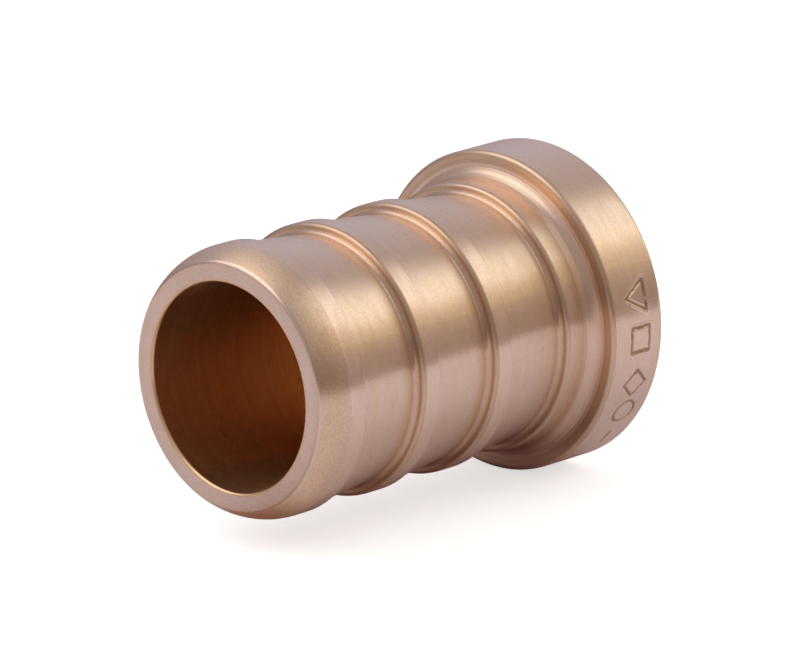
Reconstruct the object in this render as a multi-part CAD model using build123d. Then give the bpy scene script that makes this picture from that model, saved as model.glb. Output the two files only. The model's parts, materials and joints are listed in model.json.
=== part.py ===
from build123d import *
from math import radians, tan
import os

# Barbed end plug for nominal 1/2 inch flexible tube, turned from one piece of brass.
# It lies on its side. The origin is the centre of the head's flat back face, the turned axis
# runs from there along -Y to the open, barbed end, and +Z is up. Lengths are in millimetres.
# Stations are distances along the axis from the head's back face.

# Driving dimensions.
RIB_DIAMETER = 11.96
BORE_DIAMETER = 9.14
HEAD_DIAMETER = 14.3
HEAD_THICKNESS = 3.31
BARB_LENGTH = 16.29
RIB_COUNT = 4
RIB_PITCH = 4.45
NOSE_LENGTH = 1.57
NOSE_LAND_LENGTH = 0.73
LAND_LENGTH = 0.98
LAND_STEP = 0.15
LAND_STEP_RUN = 0.1
ROOT_DEPTH = 0.49
NOSE_DEPTH = 0.53
END_WALL = 2.0
DRILL_POINT_ANGLE = 118

# Edge rounds and internal corner radii.
COVE_RADIUS = 0.6
ROOT_FILLET = 0.2
CREST_ROUND = 0.12
HEAD_FRONT_ROUND = 0.2
HEAD_BACK_ROUND = 0.45
LIP_OUTER_ROUND = 0.12
LIP_INNER_ROUND = 0.14

# Sizes that follow from the driving ones.
RIB_RADIUS = RIB_DIAMETER / 2
STEP_RADIUS = RIB_RADIUS - LAND_STEP
ROOT_RADIUS = RIB_RADIUS - ROOT_DEPTH
LIP_RADIUS = RIB_RADIUS - NOSE_DEPTH
BORE_RADIUS = BORE_DIAMETER / 2
HEAD_RADIUS = HEAD_DIAMETER / 2
LENGTH = HEAD_THICKNESS + BARB_LENGTH
NOSE_REAR = LENGTH - NOSE_LENGTH
BORE_FLOOR = END_WALL + BORE_RADIUS / tan(radians(DRILL_POINT_ANGLE / 2))


def land_rear(rib):
    """Station of the rear edge of a rib's land. Rib 0 is the nose, the rest follow at the pitch."""
    return NOSE_REAR - NOSE_LAND_LENGTH - rib * RIB_PITCH


def crest(rib):
    """Station of a rib's leading edge, where its steep front face ends."""
    return land_rear(rib) + LAND_LENGTH


def outer_corners():
    """Corners from the back to the nose as (radius, station, corner round)."""
    corners = [
        (0, 0, 0),
        (HEAD_RADIUS, 0, HEAD_BACK_ROUND),
        (HEAD_RADIUS, HEAD_THICKNESS, HEAD_FRONT_ROUND),
        (RIB_RADIUS, HEAD_THICKNESS, COVE_RADIUS),
    ]
    for rib in range(RIB_COUNT - 1, 0, -1):
        corners += [
            (RIB_RADIUS, crest(rib), CREST_ROUND),
            (ROOT_RADIUS, crest(rib), ROOT_FILLET),
            (STEP_RADIUS, land_rear(rib - 1) - LAND_STEP_RUN, 0),
            (RIB_RADIUS, land_rear(rib - 1), 0),
        ]
    return corners + [(RIB_RADIUS, NOSE_REAR, 0)]


def mouth_corners():
    """Corners from the nose's front edge down the blind bore to the axis."""
    return [
        (LIP_RADIUS, LENGTH, LIP_OUTER_ROUND),
        (BORE_RADIUS, LENGTH, LIP_INNER_ROUND),
        (BORE_RADIUS, BORE_FLOOR, 0),
        (0, END_WALL, 0),
    ]


def plug_body():
    """The whole plug as one turned solid: head, cove, three ribs, curved nose and blind bore."""
    outer = [(radius, -station) for radius, station, _ in outer_corners()]
    mouth = [(radius, -station) for radius, station, _ in mouth_corners()]
    outside = Polyline(outer)
    nose = TangentArc(outer[-1], mouth[0], tangent=(0, -1))
    inside = Polyline(mouth + [outer[0]])
    section = make_face([*outside.edges(), nose.edge(), *inside.edges()])
    for radius, station, rounding in outer_corners() + mouth_corners():
        if rounding > 0:
            corner = section.vertices().sort_by_distance((radius, -station))[0]
            section = fillet(corner, rounding)
    return revolve(section, Axis.Y)


os.makedirs("parts", exist_ok=True)
export_step(plug_body(), "parts/plug_body.step")
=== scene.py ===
"""Looks of the barbed end plug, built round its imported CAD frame.

The plug is one piece of turned brass, so it is one lathe-turned mesh. It has the CAD's half
section with its edges rounded a little more, and the marks stamped round the head are cut into
the mesh. Lengths named here are in millimetres, and MM takes them to the frame's metres.
"""

import json
import math

import bpy
import numpy as np
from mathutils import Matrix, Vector


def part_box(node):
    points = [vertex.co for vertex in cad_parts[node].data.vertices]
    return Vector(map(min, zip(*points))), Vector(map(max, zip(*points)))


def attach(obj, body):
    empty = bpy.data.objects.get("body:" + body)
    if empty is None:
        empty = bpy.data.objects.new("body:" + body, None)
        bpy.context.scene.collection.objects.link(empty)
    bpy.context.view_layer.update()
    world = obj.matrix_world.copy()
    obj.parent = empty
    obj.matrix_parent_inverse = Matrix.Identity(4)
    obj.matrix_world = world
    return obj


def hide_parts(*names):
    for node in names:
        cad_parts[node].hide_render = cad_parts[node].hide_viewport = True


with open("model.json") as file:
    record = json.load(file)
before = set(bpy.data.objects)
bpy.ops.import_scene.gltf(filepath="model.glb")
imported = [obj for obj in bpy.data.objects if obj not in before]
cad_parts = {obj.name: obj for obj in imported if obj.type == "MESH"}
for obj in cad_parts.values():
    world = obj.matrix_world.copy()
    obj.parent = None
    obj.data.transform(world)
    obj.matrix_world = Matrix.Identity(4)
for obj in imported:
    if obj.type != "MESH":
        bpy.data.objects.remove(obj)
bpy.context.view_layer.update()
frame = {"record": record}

MM = 0.001

# ---------------------------------------------------------------- sizes, read from the frame

low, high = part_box("plug_body")
mounts = {mount["name"]: mount for mount in frame["record"]["mounts"]}
LENGTH = (high.y - low.y) / MM

# The burrs round the marks reach the CAD's head radius, so the head itself is that much smaller.
BURR_HEIGHT = 0.012
HEAD_RADIUS = (high.z - low.z) / 2 / MM - BURR_HEIGHT
RIB_RADIUS = mounts["barb"]["dims"]["r_mm"]
BORE_RADIUS = mounts["bore"]["dims"]["r_mm"]

# The rest of the turned section, as the CAD part has it. A station is a distance from the head's
# back face.
HEAD_THICKNESS = 3.31
RIB_COUNT = 4
RIB_PITCH = 4.45
NOSE_LENGTH = 1.57
NOSE_LAND_LENGTH = 0.73
LAND_LENGTH = 0.98
LAND_STEP = 0.15
LAND_STEP_RUN = 0.1
ROOT_DEPTH = 0.49
NOSE_DEPTH = 0.53
STEP_RADIUS = RIB_RADIUS - LAND_STEP
ROOT_RADIUS = RIB_RADIUS - ROOT_DEPTH
LIP_RADIUS = RIB_RADIUS - NOSE_DEPTH
END_WALL = 2.0
DRILL_POINT_ANGLE = 118
BORE_FLOOR = END_WALL + BORE_RADIUS / math.tan(math.radians(DRILL_POINT_ANGLE / 2))
NOSE_REAR = LENGTH - NOSE_LENGTH

# Edge rounds and internal corner radii.
HEAD_BACK_ROUND = 0.45
HEAD_FRONT_ROUND = 0.2
COVE_RADIUS = 0.6
CREST_ROUND = 0.17
ROOT_FILLET = 0.2
STEP_FOOT_ROUND = 0.08
STEP_EDGE_ROUND = 0.06
LIP_OUTER_ROUND = 0.25
LIP_INNER_ROUND = 0.14
BORE_FLOOR_ROUND = 0.1

# The nose is an arc tangent to its land. Its own finish starts a little way along it.
NOSE_ARC = (NOSE_LENGTH ** 2 + NOSE_DEPTH ** 2) / (2 * NOSE_DEPTH)
NOSE_SWEEP = math.asin(NOSE_LENGTH / NOSE_ARC)
NOSE_STEPS = 10
NOSE_FINISH_START = 0.1

# Mesh fineness: the longest step along the section, and round the axis. A run between two
# rounds starts and ends with a short step, which keeps each round's shading to itself.
SECTION_STEP = 1.0
MARK_STEP = 0.05
EDGE_STEP = 0.02
TURN_STEP = 3.0
MARK_TURN_STEP = 0.36
ARC_STEPS = 6

# A round this small or smaller takes in full the painted highlight of a convex edge, partly worn
# brass, or the painted shade of a concave one.
CREASE_ROUND = 0.1

# The marks lie on the side of the head that faces the camera. Angles are in degrees round the
# axis, from +X towards +Z.
MARKS_FROM = -54.0
MARKS_TO = 25.2
MARKS_LOW = 0.5
MARKS_HIGH = 2.6


# ---------------------------------------------------------------- the turned section

def land_rear(rib):
    """Station of the rear edge of a rib's land. Rib 0 is the nose."""
    return NOSE_REAR - NOSE_LAND_LENGTH - rib * RIB_PITCH


def crest(rib):
    """Station of a rib's leading edge."""
    return land_rear(rib) + LAND_LENGTH


def half_section():
    """Corners as (radius, station, round, finish of the surface that follows)."""
    corners = [
        (0.0, 0.0, 0.0, "end_face"),
        (HEAD_RADIUS, 0.0, HEAD_BACK_ROUND, "head"),
        (HEAD_RADIUS, MARKS_LOW, 0.0, "marked"),
        (HEAD_RADIUS, MARKS_HIGH, 0.0, "head"),
        (HEAD_RADIUS, HEAD_THICKNESS, HEAD_FRONT_ROUND, "face"),
        (RIB_RADIUS, HEAD_THICKNESS, COVE_RADIUS, "cove"),
        (RIB_RADIUS, HEAD_THICKNESS + COVE_RADIUS + EDGE_STEP, 0.0, "barrel"),
    ]
    for rib in range(RIB_COUNT - 1, 0, -1):
        corners += [
            (RIB_RADIUS, crest(rib), CREST_ROUND, "face"),
            (ROOT_RADIUS, crest(rib), ROOT_FILLET, "barrel"),
            (STEP_RADIUS, land_rear(rib - 1) - LAND_STEP_RUN, STEP_FOOT_ROUND, "barrel"),
            (RIB_RADIUS, land_rear(rib - 1), STEP_EDGE_ROUND, "barrel"),
        ]
    for step in range(NOSE_STEPS):
        angle = NOSE_SWEEP * step / NOSE_STEPS
        run = NOSE_ARC * math.sin(angle)
        radius = RIB_RADIUS - NOSE_ARC * (1 - math.cos(angle))
        finish = "nose" if run > NOSE_FINISH_START else "barrel"
        corners.append((radius, NOSE_REAR + run, 0.0, finish))
    corners += [
        (LIP_RADIUS, LENGTH, LIP_OUTER_ROUND, "lip"),
        (BORE_RADIUS, LENGTH, LIP_INNER_ROUND, "bore"),
        (BORE_RADIUS, BORE_FLOOR, BORE_FLOOR_ROUND, "bore"),
        (0.0, END_WALL, 0.0, "bore"),
    ]
    return corners


def arc_points(before, corner, after, rounding):
    """The points of the arc that rounds a corner, and whether the corner is a convex one."""
    back = (before - corner) / np.linalg.norm(before - corner)
    forth = (after - corner) / np.linalg.norm(after - corner)
    half_angle = math.acos(float(np.clip(back @ forth, -1, 1))) / 2
    reach = rounding / math.tan(half_angle)
    bisector = (back + forth) / np.linalg.norm(back + forth)
    centre = corner + bisector * rounding / math.sin(half_angle)
    first = corner + back * reach - centre
    last = corner + forth * reach - centre
    turn = math.atan2(first[0] * last[1] - first[1] * last[0], first @ last)
    points = []
    for step in range(ARC_STEPS + 1):
        angle = turn * step / ARC_STEPS
        spin = np.array([[math.cos(angle), -math.sin(angle)], [math.sin(angle), math.cos(angle)]])
        points.append(centre + spin @ first)
    return points, turn > 0


def section_points():
    """The whole half section as dense points: place, finish of the next step, painted edge highlight
    (partly worn brass) and painted shade in creases.
    """
    corners = half_section()
    places = [np.array(corner[:2]) for corner in corners]
    points, finishes, wear_and_highlight, crease_shade = [], [], [], []
    for i, (_, _, rounding, finish) in enumerate(corners):
        if rounding > 0:
            arc, convex = arc_points(places[i - 1], places[i], places[i + 1], rounding)
            # Convex rounds take a painted highlight, partly worn brass, and concave rounds a painted
            # shade, most at the middle of each round.
            sharpness = min(1.0, CREASE_ROUND / rounding)
            blend = [sharpness * math.sin(math.pi * k / ARC_STEPS) for k in range(ARC_STEPS + 1)]
        else:
            arc, convex, blend = [places[i]], True, [0.0]
        for point, amount in zip(arc, blend):
            points.append(point)
            finishes.append(finish)
            wear_and_highlight.append(amount if convex else 0.0)
            crease_shade.append(0.0 if convex else amount)
    return subdivided(points, finishes, wear_and_highlight, crease_shade)


def run_shares(span, finish):
    """Where one straight run is cut: evenly, with a short step at each end of a longer run."""
    if span < 4 * EDGE_STEP:
        return []
    if finish == "marked":
        count = math.ceil(span / MARK_STEP)
        return [k / count for k in range(1, count)]
    inner = span - 2 * EDGE_STEP
    count = math.ceil(inner / SECTION_STEP)
    return [(EDGE_STEP + inner * k / count) / span for k in range(count + 1)]


def subdivided(points, finishes, wear_and_highlight, crease_shade):
    """The same section with its straight runs cut into steps."""
    out = [[], [], [], []]
    for i in range(len(points)):
        for values, value in zip(out, (points[i], finishes[i], wear_and_highlight[i], crease_shade[i])):
            values.append(value)
        if i + 1 == len(points):
            break
        for share in run_shares(np.linalg.norm(points[i + 1] - points[i]), finishes[i]):
            out[0].append(points[i] * (1 - share) + points[i + 1] * share)
            out[1].append(finishes[i])
            out[2].append(wear_and_highlight[i] * (1 - share) + wear_and_highlight[i + 1] * share)
            out[3].append(crease_shade[i] * (1 - share) + crease_shade[i + 1] * share)
    return np.array(out[0]), out[1], np.array(out[2]), np.array(out[3])


def turn_angles():
    """Angles of the mesh's columns in degrees: close together only where the marks are."""
    marked = MARKS_TO - MARKS_FROM
    marked_count = round(marked / MARK_TURN_STEP)
    plain_count = round((360 - marked) / TURN_STEP)
    close = MARKS_FROM + marked * np.arange(marked_count) / marked_count
    plain = MARKS_TO + (360 - marked) * np.arange(plain_count) / plain_count
    return np.concatenate([close, plain])


# ---------------------------------------------------------------- the marks on the head

STROKE_WIDTH = 0.13
STROKE_DEPTH = 0.07
DASH_LENGTH = 0.8

# The square and the triangle reach this far from their middles. The others are a little smaller.
MARK_SIZE = 0.78
CIRCLE_SIZE = MARK_SIZE * 0.75
DIAMOND_SIZE = MARK_SIZE * 0.85
CIRCLE_SIDES = 20

# The marks' middles, in degrees round the head.
DASH_AT = -45
CIRCLE_AT = -31
DIAMOND_AT = -18.5
SQUARE_AT = -1.5
TRIANGLE_AT = 14


def ring_strokes(centre, radius, sides, start=0.0):
    """A closed ring of straight strokes, with its first corner at the start angle in degrees."""
    corners = []
    for k in range(sides + 1):
        angle = math.radians(start + 360 * k / sides)
        corners.append((centre[0] + radius * math.cos(angle), centre[1] + radius * math.sin(angle)))
    return list(zip(corners[:-1], corners[1:]))


def mark_strokes():
    """Plain geometric marks: a dash, a circle, a diamond, a square and a triangle.

    Each stroke is two points (distance round the head, station).
    """
    def place(angle):
        return (HEAD_RADIUS * math.radians(angle), (MARKS_LOW + MARKS_HIGH) / 2)

    around, station = place(DASH_AT)
    strokes = [((around - DASH_LENGTH / 2, station), (around + DASH_LENGTH / 2, station))]
    strokes += ring_strokes(place(CIRCLE_AT), CIRCLE_SIZE, CIRCLE_SIDES)
    strokes += ring_strokes(place(DIAMOND_AT), DIAMOND_SIZE, 4)
    strokes += ring_strokes(place(SQUARE_AT), MARK_SIZE, 4, 45)
    strokes += ring_strokes(place(TRIANGLE_AT), MARK_SIZE, 3, 90)
    return strokes


def distance_to_strokes(around, station):
    """Shortest distance from each surface point to any stroke."""
    nearest = np.full(around.shape, np.inf)
    for (ax, ay), (bx, by) in mark_strokes():
        dx, dy = bx - ax, by - ay
        share = np.clip(((around - ax) * dx + (station - ay) * dy) / (dx * dx + dy * dy), 0, 1)
        nearest = np.minimum(nearest, np.hypot(around - ax - share * dx, station - ay - share * dy))
    return nearest


def smooth(start, end, value):
    """A smooth rise from 0 where the value is at the start to 1 at the end."""
    t = np.clip((value - start) / (end - start), 0, 1)
    return t * t * (3 - 2 * t)


def stroke_lumps(around, station):
    """How the depth of the strokes varies from place to place, between 0.4 and 1."""
    return 0.7 + 0.3 * np.sin(around * 11.0 + 2.0 * np.sin(station * 9.0))


def mark_relief(around, station):
    """How far the marks move the surface, and how deep in a stroke each point is, from 0 to 1.

    Each stroke is a groove with a low burr along both sides, and both vary along it.
    """
    distance = distance_to_strokes(around, station)
    inside = 1 - smooth(STROKE_WIDTH * 0.25, STROKE_WIDTH * 0.75, distance)
    lumps = stroke_lumps(around, station)
    burr = np.exp(-(((distance - STROKE_WIDTH * 0.95) / (STROKE_WIDTH * 0.35)) ** 2)) * lumps
    return BURR_HEIGHT * burr - STROKE_DEPTH * inside * lumps, inside


# ---------------------------------------------------------------- the mesh

# Each finish of the section, with its material's place in brass_finishes().
FINISHES = {
    "barrel": 0, "nose": 1, "lip": 2, "bore": 3, "head": 4, "marked": 4, "face": 5, "cove": 6,
    "end_face": 7,
}


def lathe_faces(finishes, columns):
    """The faces between the rings and at both poles, and the material of each.

    Vertex 0 is the pole of the head's back, and the last vertex is the bottom of the bore.
    """
    faces, slots = [], []
    ring_count = len(finishes) - 2
    last_ring = 1 + (ring_count - 1) * columns
    bottom = 1 + ring_count * columns
    for j in range(columns):
        k = (j + 1) % columns
        faces.append((0, 1 + j, 1 + k))
        slots.append(FINISHES[finishes[0]])
        faces.append((last_ring + k, last_ring + j, bottom))
        slots.append(FINISHES[finishes[-2]])
    for i in range(ring_count - 1):
        row = 1 + i * columns
        for j in range(columns):
            k = (j + 1) % columns
            faces.append((row + j, row + columns + j, row + columns + k, row + k))
            slots.append(FINISHES[finishes[i + 1]])
    return faces, slots


def plug_mesh():
    """The plug's lathe-turned mesh, with painted edge highlight, painted shade in creases and mark
    values on the vertices.
    """
    points, finishes, wear_and_highlight, crease_shade = section_points()
    angles = np.radians(turn_angles())
    columns = len(angles)
    inner = points[1:-1]

    def round_axis(values):
        """One value for each ring, repeated for every column."""
        return np.repeat(values[:, None], columns, 1)

    radius = round_axis(inner[:, 0])
    station = round_axis(inner[:, 1])
    turned = np.repeat(angles[None, :], len(inner), 0)
    relief, inside = mark_relief(turned * HEAD_RADIUS, station)
    on_head = np.array([finish == "marked" for finish in finishes[1:-1]])[:, None]
    facing = (turned >= math.radians(MARKS_FROM)) & (turned <= math.radians(MARKS_TO))
    inside = np.where(on_head & facing, inside, 0.0)
    radius = radius + np.where(on_head & facing, relief, 0.0)
    rings = np.stack([radius * np.cos(turned), -station, radius * np.sin(turned)], -1).reshape(-1, 3)
    vertices = np.concatenate([[[0, -points[0][1], 0]], rings, [[0, -points[-1][1], 0]]]) * MM
    faces, slots = lathe_faces(finishes, columns)
    mesh = bpy.data.meshes.new("turned_plug")
    mesh.from_pydata(vertices.tolist(), [], faces)
    mesh.polygons.foreach_set("material_index", slots)
    mesh.polygons.foreach_set("use_smooth", [True] * len(faces))
    layers = {"wear_and_highlight": round_axis(wear_and_highlight[1:-1]), "crease_shade": round_axis(crease_shade[1:-1]), "mark": inside}
    for name, values in layers.items():
        layer = mesh.attributes.new(name, "FLOAT", "POINT")
        whole = np.concatenate([[0], values.ravel(), [0]])
        layer.data.foreach_set("value", whole.astype(np.float32))
    mesh.update()
    return mesh


# ---------------------------------------------------------------- materials

# How often each noise pattern of the brass repeats in a millimetre.
FINE_RINGS = 9.0
BROAD_RINGS = 1.6
PATCHES = 0.25
GRAINS = 11.0
CHATTER_MARKS = 3.0

# Chatter marks are drawn out round the axis to this share of their pace along it.
CHATTER_STRETCH = 0.3

# The rings follow a coordinate that grows this much faster outwards than along the axis.
OUTWARD_PACE = 1.31

# Where along y the barrel's golden tint starts and is full.
GOLDEN_FROM = -16.5
GOLDEN_FULL = -4.0

GOLDEN_TINT = (0.86, 0.61, 0.40)
CHATTER_TINT = (0.66, 0.46, 0.31)
SPECKLE_TINT = (0.70, 0.47, 0.33)
# Painted shade for concave rounds; the marks' strokes are darkened with it too.
CREASE_SHADE_AND_MARK_TINT = (0.46, 0.27, 0.15)
# A painted highlight for convex edges, partly worn brass.
WORN_HIGHLIGHT_TINT = (0.95, 0.77, 0.60)

# How much of its tint the brass takes where each pattern is full.
PATCH_SHARE = 0.35
CHATTER_SHARE = 0.12
# CREASE_SHADE_SHARE is how much painted shade the concave rounds take.
CREASE_SHADE_SHARE = 0.85
MARK_SHARE = 0.8
# WORN_HIGHLIGHT_SHARE is how much painted highlight, partly worn brass, the convex edges take.
WORN_HIGHLIGHT_SHARE = 0.3

# How far the roughness swings with each noise, and how much a mark adds and a worn edge takes away.
BROAD_SWING = 0.06
CHATTER_SWING = 0.12
GRAIN_SWING = 0.06
MARK_ROUGHER = 0.2
WORN_SMOOTHER = 0.05


class Nodes:
    """Short calls for building a node tree."""

    def __init__(self, tree):
        self.tree = tree
        tree.nodes.clear()

    def add(self, kind, **settings):
        node = self.tree.nodes.new(kind)
        for name, value in settings.items():
            setattr(node, name, value)
        return node

    def plug(self, value, socket):
        """Feed a socket from another socket, or set it to a plain value."""
        if isinstance(value, bpy.types.NodeSocket):
            self.tree.links.new(value, socket)
        elif value is not None:
            socket.default_value = value

    def math(self, operation, a, b=None, clamp=False):
        node = self.add("ShaderNodeMath", operation=operation, use_clamp=clamp)
        for value, socket in zip((a, b), node.inputs):
            self.plug(value, socket)
        return node.outputs[0]

    def vector_math(self, operation, a, b):
        node = self.add("ShaderNodeVectorMath", operation=operation)
        self.plug(a, node.inputs[0])
        self.plug(b, node.inputs[1])
        return node

    def mix(self, share, a, b):
        """Colour a where the share is 0 and colour b where it is 1."""
        node = self.add("ShaderNodeMix", data_type="RGBA")
        self.plug(share, node.inputs[0])
        self.plug(a, node.inputs[6])
        self.plug(b, node.inputs[7])
        return node.outputs[2]

    def ramp(self, value, start, end):
        """A smooth rise from 0 where the value is at the start to 1 at the end."""
        node = self.add("ShaderNodeMapRange", interpolation_type="SMOOTHSTEP")
        for socket, item in zip(node.inputs, (value, start, end, 0.0, 1.0)):
            self.plug(item, socket)
        return node.outputs[0]

    def gradient(self, value, stops):
        """A colour ramp whose stops are (degrees out of 180, colour)."""
        node = self.add("ShaderNodeValToRGB")
        ramp = node.color_ramp
        while len(ramp.elements) < len(stops):
            ramp.elements.new(1.0)
        for element, (degrees, shade) in zip(ramp.elements, stops):
            element.position = degrees / 180
            element.color = colour(*shade)
        self.plug(value, node.inputs[0])
        return node.outputs[0]

    def attribute(self, name):
        return self.add("ShaderNodeAttribute", attribute_name=name).outputs["Fac"]


def colour(red, green, blue):
    """An opaque colour, as a node's socket takes it."""
    return (red, green, blue, 1.0)


def brass(
    name, base, streak, roughness, anisotropy, line_depth, grain_depth,
    chatter_depth=0.0, golden=0.0, speckle=0.2,
):
    """Turned brass: fine rings left by the tool, faint streaks of colour, and a slight grain.

    The rings follow a coordinate that grows along the axis and outwards, so they run round the
    axis on cylinders, cones and flat faces alike. Depths are in millimetres.
    """
    material = bpy.data.materials.new(name)
    material.use_nodes = True
    n = Nodes(material.node_tree)
    place = n.add("ShaderNodeTexCoord").outputs["Object"]
    split = n.add("ShaderNodeSeparateXYZ")
    n.plug(place, split.inputs[0])
    x, y, z = split.outputs
    out = n.math("SQRT", n.math("ADD", n.math("MULTIPLY", x, x), n.math("MULTIPLY", z, z)))
    tool = n.math("DIVIDE", n.math("SUBTRACT", n.math("MULTIPLY", out, OUTWARD_PACE), y), MM)

    def rings(per_mm, detail):
        """A noise that runs round the axis."""
        noise = n.add("ShaderNodeTexNoise", noise_dimensions="1D")
        n.plug(n.math("MULTIPLY", tool, per_mm), noise.inputs["W"])
        noise.inputs["Scale"].default_value = 1.0
        noise.inputs["Detail"].default_value = detail
        return noise.outputs["Fac"]

    def cloud(per_mm, detail, vector=place):
        """A noise that runs every way."""
        noise = n.add("ShaderNodeTexNoise")
        n.plug(vector, noise.inputs["Vector"])
        noise.inputs["Scale"].default_value = per_mm / MM
        noise.inputs["Detail"].default_value = detail
        return noise.outputs["Fac"]

    def tinted(share, tint, shade):
        """The tint with this share of a plain shade in it."""
        return n.mix(share, tint, colour(*shade))

    def swing(noise, amount):
        """A noise about zero, this much from its least to its most."""
        return n.math("MULTIPLY", n.math("SUBTRACT", noise, 0.5), amount)

    fine = rings(FINE_RINGS, 3.0)
    broad = rings(BROAD_RINGS, 2.0)
    patch = cloud(PATCHES, 3.0)
    grain = cloud(GRAINS, 2.0)
    drawn_out = n.vector_math("MULTIPLY", place, (CHATTER_STRETCH, 1.0, CHATTER_STRETCH))
    chatter = cloud(CHATTER_MARKS, 3.0, drawn_out.outputs["Vector"])
    wear_and_highlight, crease_shade, mark = (n.attribute(value) for value in ("wear_and_highlight", "crease_shade", "mark"))

    # A noise seldom leaves 0.3 to 0.7, so each ramp covers a part of that.
    tint = n.mix(n.ramp(broad, 0.35, 0.68), colour(*base), colour(*streak))
    tint = tinted(n.math("MULTIPLY", n.ramp(patch, 0.45, 0.7), PATCH_SHARE), tint, streak)
    toward_head = n.ramp(y, GOLDEN_FROM * MM, GOLDEN_FULL * MM)
    tint = tinted(n.math("MULTIPLY", toward_head, golden), tint, GOLDEN_TINT)
    chattered = n.math("MULTIPLY", n.ramp(chatter, 0.35, 0.7), CHATTER_SHARE)
    tint = tinted(chattered, tint, CHATTER_TINT)
    tint = tinted(n.math("MULTIPLY", n.ramp(grain, 0.4, 0.6), speckle), tint, SPECKLE_TINT)
    # Painted shade: concave rounds are darkened.
    tint = tinted(n.math("MULTIPLY", crease_shade, CREASE_SHADE_SHARE), tint, CREASE_SHADE_AND_MARK_TINT)
    tint = tinted(n.math("MULTIPLY", mark, MARK_SHARE), tint, CREASE_SHADE_AND_MARK_TINT)
    # Painted highlight, partly worn brass: convex edges are lightened.
    tint = tinted(n.math("MULTIPLY", wear_and_highlight, WORN_HIGHLIGHT_SHARE), tint, WORN_HIGHLIGHT_TINT)

    rough = n.math("ADD", roughness, swing(broad, BROAD_SWING))
    rough = n.math("ADD", rough, swing(chatter, CHATTER_SWING))
    rough = n.math("ADD", rough, swing(grain, GRAIN_SWING))
    rough = n.math("SUBTRACT", rough, n.math("MULTIPLY", wear_and_highlight, WORN_SMOOTHER))
    rough = n.math("ADD", rough, n.math("MULTIPLY", mark, MARK_ROUGHER), clamp=True)

    height = n.math("MULTIPLY", fine, line_depth * MM)
    height = n.math("ADD", height, n.math("MULTIPLY", grain, grain_depth * MM))
    height = n.math("ADD", height, n.math("MULTIPLY", chatter, chatter_depth * MM))
    bump = n.add("ShaderNodeBump")
    bump.inputs["Strength"].default_value = 1.0
    bump.inputs["Distance"].default_value = 1.0
    n.plug(height, bump.inputs["Height"])

    shader = n.add("ShaderNodeBsdfPrincipled")
    shader.inputs["Metallic"].default_value = 1.0
    # A quarter turn of the tangent makes highlights fan out across the tool rings.
    shader.inputs["Anisotropic"].default_value = anisotropy
    shader.inputs["Anisotropic Rotation"].default_value = 0.25
    tangent = n.add("ShaderNodeTangent", direction_type="RADIAL", axis="Y")
    n.plug(tangent.outputs[0], shader.inputs["Tangent"])
    n.plug(tint, shader.inputs["Base Color"])
    n.plug(rough, shader.inputs["Roughness"])
    n.plug(bump.outputs[0], shader.inputs["Normal"])
    output = n.add("ShaderNodeOutputMaterial")
    n.plug(shader.outputs[0], output.inputs[0])
    return material


def brass_finishes():
    """One material for each finish, in the order of their places on the mesh."""
    pink = (0.88, 0.655, 0.495)
    gold = (0.89, 0.66, 0.45)
    nose = (0.87, 0.62, 0.45)
    nose_streak = (0.87, 0.63, 0.40)
    # Painted shade: the lip's copy of the brass is darker than the barrel's.
    lip = (0.77, 0.58, 0.45)
    lip_streak = (0.78, 0.57, 0.42)
    # Painted reflection: the bore's copy of the brass is a deeper orange, standing for light bounced
    # round inside it.
    bore = (0.85, 0.53, 0.25)
    bore_streak = (0.81, 0.48, 0.21)
    # Painted shade: the faces towards the open end take a darker, browner copy of the brass.
    shaded_face = (0.69, 0.48, 0.31)
    shaded_face_streak = (0.61, 0.41, 0.25)
    end_streak = (0.80, 0.575, 0.41)
    return [
        brass(
            "brass_barrel", pink, gold, roughness=0.25, anisotropy=1.0,
            line_depth=0.0008, grain_depth=0.0004, chatter_depth=0.0005, golden=0.25,
        ),
        brass(
            "brass_nose", nose, nose_streak, roughness=0.31, anisotropy=1.0,
            line_depth=0.001, grain_depth=0.004, speckle=0.5,
        ),
        brass(
            "brass_lip", lip, lip_streak, roughness=0.28, anisotropy=0.8,
            line_depth=0.0016, grain_depth=0.001,
        ),
        brass(
            "brass_bore", bore, bore_streak, roughness=0.36, anisotropy=0.4,
            line_depth=0.004, grain_depth=0.0005,
        ),
        brass(
            "brass_head", pink, gold, roughness=0.25, anisotropy=1.0,
            line_depth=0.0008, grain_depth=0.0006, chatter_depth=0.0005,
        ),
        brass(
            "brass_face_painted_shade", shaded_face, shaded_face_streak, roughness=0.34, anisotropy=0.8,
            line_depth=0.002, grain_depth=0.001,
        ),
        brass(
            "brass_cove", pink, gold, roughness=0.32, anisotropy=0.8,
            line_depth=0.0012, grain_depth=0.0006,
        ),
        brass(
            "brass_end", pink, end_streak, roughness=0.27, anisotropy=0.9,
            line_depth=0.005, grain_depth=0.0006,
        ),
    ]


def make_plug():
    """The shown plug, which stands for the CAD node."""
    mesh = plug_mesh()
    for material in brass_finishes():
        mesh.materials.append(material)
    plug = bpy.data.objects.new("turned_plug", mesh)
    bpy.context.scene.collection.objects.link(plug)
    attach(plug, "root")
    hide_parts("plug_body")
    return plug


# ---------------------------------------------------------------- floor, light and camera

FLOOR_RADIUS = 110.0
FLOOR_SIDES = 128

# The floor's colour and glow as the camera sees it, and as the plug reflects it. Under the plug its
# reflected colour is a painted shadow, a warm dark colour that also stands for the brass's bounced
# light, out to a few millimetres from the axis.
FLOOR_SEEN = (0.9, 0.93, 0.87)
FLOOR_SEEN_GLOW = (0.62, 0.62, 0.62)
FLOOR_REFLECTED = (0.96, 0.95, 1.0)
FLOOR_REFLECTED_GLOW = (0.0, 0.0, 0.02)
FLOOR_PAINTED_SHADOW = (0.56, 0.37, 0.25)
PAINTED_SHADOW_FULL = 0.5
PAINTED_SHADOW_END = 4.5


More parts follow.
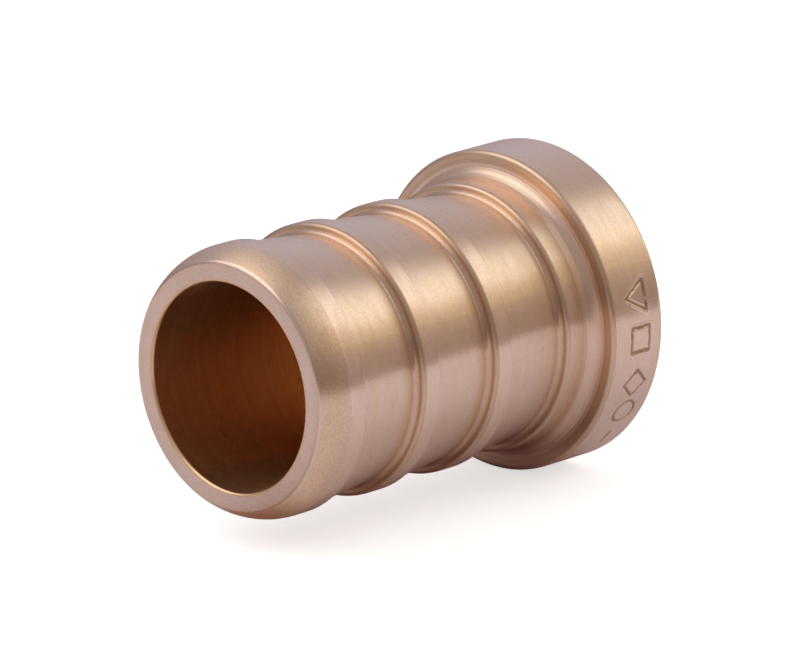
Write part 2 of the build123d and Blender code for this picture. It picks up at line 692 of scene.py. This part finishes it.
def make_floor():
    """A plain pale round table top under the plug, with a painted shadow under the plug that the
    camera doesn't see.
    """
    corners = []
    radius = FLOOR_RADIUS * MM
    for k in range(FLOOR_SIDES):
        angle = 2 * math.pi * k / FLOOR_SIDES
        corners.append((radius * math.cos(angle), radius * math.sin(angle), 0.0))
    mesh = bpy.data.meshes.new("floor")
    mesh.from_pydata(corners, [], [tuple(range(FLOOR_SIDES))])
    material = bpy.data.materials.new("floor")
    material.use_nodes = True
    n = Nodes(material.node_tree)
    seen = n.add("ShaderNodeLightPath").outputs["Is Camera Ray"]
    plain = n.add("ShaderNodeBsdfDiffuse")
    split = n.add("ShaderNodeSeparateXYZ")
    n.plug(n.add("ShaderNodeTexCoord").outputs["Object"], split.inputs[0])
    # Painted shadow: away from the camera, the floor is darkened to a warm colour near the axis.
    outside_painted_shadow = n.ramp(n.math("ABSOLUTE", split.outputs[0]), PAINTED_SHADOW_FULL * MM, PAINTED_SHADOW_END * MM)
    reflected = n.mix(outside_painted_shadow, colour(*FLOOR_PAINTED_SHADOW), colour(*FLOOR_REFLECTED))
    n.plug(n.mix(seen, reflected, colour(*FLOOR_SEEN)), plain.inputs[0])
    glow = n.add("ShaderNodeEmission")
    shine = n.mix(seen, colour(*FLOOR_REFLECTED_GLOW), colour(*FLOOR_SEEN_GLOW))
    n.plug(shine, glow.inputs["Color"])
    both = n.add("ShaderNodeAddShader")
    n.plug(plain.outputs[0], both.inputs[0])
    n.plug(glow.outputs[0], both.inputs[1])
    output = n.add("ShaderNodeOutputMaterial")
    n.plug(both.outputs[0], output.inputs[0])
    mesh.materials.append(material)
    floor = bpy.data.objects.new("floor", mesh)
    floor.location = (0, (low.y + high.y) / 2, low.z)
    bpy.context.scene.collection.objects.link(floor)


# The studio's light by height round the plug's axis, as (degrees above the horizon on the +X side,
# colour). The side light is a long soft strip, warm below and cool above it. The front light is the
# dimmer one before the open end.
SIDE_LIGHT = [
    (0, (0.41, 0.33, 0.33)),
    (13, (0.45, 0.37, 0.36)),
    (26, (0.60, 0.51, 0.43)),
    (40, (0.95, 0.84, 0.70)),
    (50, (1.30, 1.27, 1.22)),
    (68, (1.30, 1.33, 1.34)),
    (78, (0.92, 0.90, 0.90)),
    (88, (0.49, 0.47, 0.49)),
    (105, (0.48, 0.46, 0.52)),
    (140, (0.53, 0.55, 0.74)),
    (165, (0.52, 0.53, 0.70)),
    (180, (0.30, 0.28, 0.34)),
]
FRONT_LIGHT = [
    (0, (0.20, 0.17, 0.17)),
    (35, (0.38, 0.34, 0.36)),
    (60, (0.41, 0.37, 0.40)),
    (130, (0.49, 0.49, 0.61)),
    (160, (0.45, 0.44, 0.54)),
    (180, (0.25, 0.23, 0.26)),
]

# One changes to the other where the y of a direction, as a unit vector, is between these.
FRONT_ONLY = -0.15
SIDE_ONLY = 0.4

# A round light lies this way. It is full this near its middle, and ends this far from it, in degrees.
TOP_LIGHT_WAY = (-0.45, -0.56, 0.70)
TOP_LIGHT_FULL = 16
TOP_LIGHT_END = 33
TOP_LIGHT = (1.75, 1.68, 1.72)

# The light from below the horizon, which reaches the plug past the table's edge.
BELOW_TABLE = (0.41, 0.33, 0.33)
WHITE = (1.0, 1.0, 1.0)


def make_world():
    """A soft studio: light round the axis, a round light above, and plain white to the camera."""
    world = bpy.data.worlds.new("studio")
    bpy.context.scene.world = world
    world.use_nodes = True
    n = Nodes(world.node_tree)
    way = n.add("ShaderNodeTexCoord").outputs["Generated"]
    split = n.add("ShaderNodeSeparateXYZ")
    n.plug(way, split.inputs[0])
    x, y, z = split.outputs
    height = n.math("DIVIDE", n.math("ARCTAN2", z, x), math.pi)
    side = n.gradient(height, SIDE_LIGHT)
    front = n.gradient(height, FRONT_LIGHT)
    sky = n.mix(n.ramp(y, FRONT_ONLY, SIDE_ONLY), front, side)
    facing = n.vector_math("DOT_PRODUCT", way, Vector(TOP_LIGHT_WAY).normalized())
    edge = math.cos(math.radians(TOP_LIGHT_END))
    core = math.cos(math.radians(TOP_LIGHT_FULL))
    top = n.ramp(facing.outputs["Value"], edge, core)
    sky = n.mix(top, sky, colour(*TOP_LIGHT))
    below = n.math("LESS_THAN", z, 0.0)
    lit = n.mix(below, sky, colour(*BELOW_TABLE))
    seen = n.add("ShaderNodeLightPath").outputs["Is Camera Ray"]
    shown = n.mix(seen, lit, colour(*WHITE))
    background = n.add("ShaderNodeBackground")
    n.plug(shown, background.inputs["Color"])
    output = n.add("ShaderNodeOutputWorld")
    n.plug(background.outputs[0], output.inputs[0])


# Azimuth 0 looks along +Y. The camera aims at the plug's centre moved by AIM_OFFSET.
CAMERA_AZIMUTH = 44.28
CAMERA_ELEVATION = 16.35
CAMERA_DISTANCE = 340.0
CAMERA_LENS = 355.2
SENSOR_WIDTH = 36.0
AIM_OFFSET = Vector((0.229, 0.404, 0.500))


def make_camera():
    """A long lens before the open end, on the +X side and a little above."""
    azimuth = math.radians(CAMERA_AZIMUTH)
    elevation = math.radians(CAMERA_ELEVATION)
    back = Vector((
        math.sin(azimuth) * math.cos(elevation),
        -math.cos(azimuth) * math.cos(elevation),
        math.sin(elevation),
    ))
    data = bpy.data.cameras.new("camera")
    data.lens = CAMERA_LENS
    data.sensor_width = SENSOR_WIDTH
    data.clip_start = 0.01
    data.clip_end = 10.0
    camera = bpy.data.objects.new("camera", data)
    camera.location = (low + high) / 2 + AIM_OFFSET * MM + back * CAMERA_DISTANCE * MM
    camera.rotation_mode = "QUATERNION"
    camera.rotation_quaternion = (-back).to_track_quat("-Z", "Y")
    bpy.context.scene.collection.objects.link(camera)
    bpy.context.scene.camera = camera


make_plug()
make_floor()
make_world()
make_camera()
bpy.context.scene.view_settings.view_transform = "Standard"
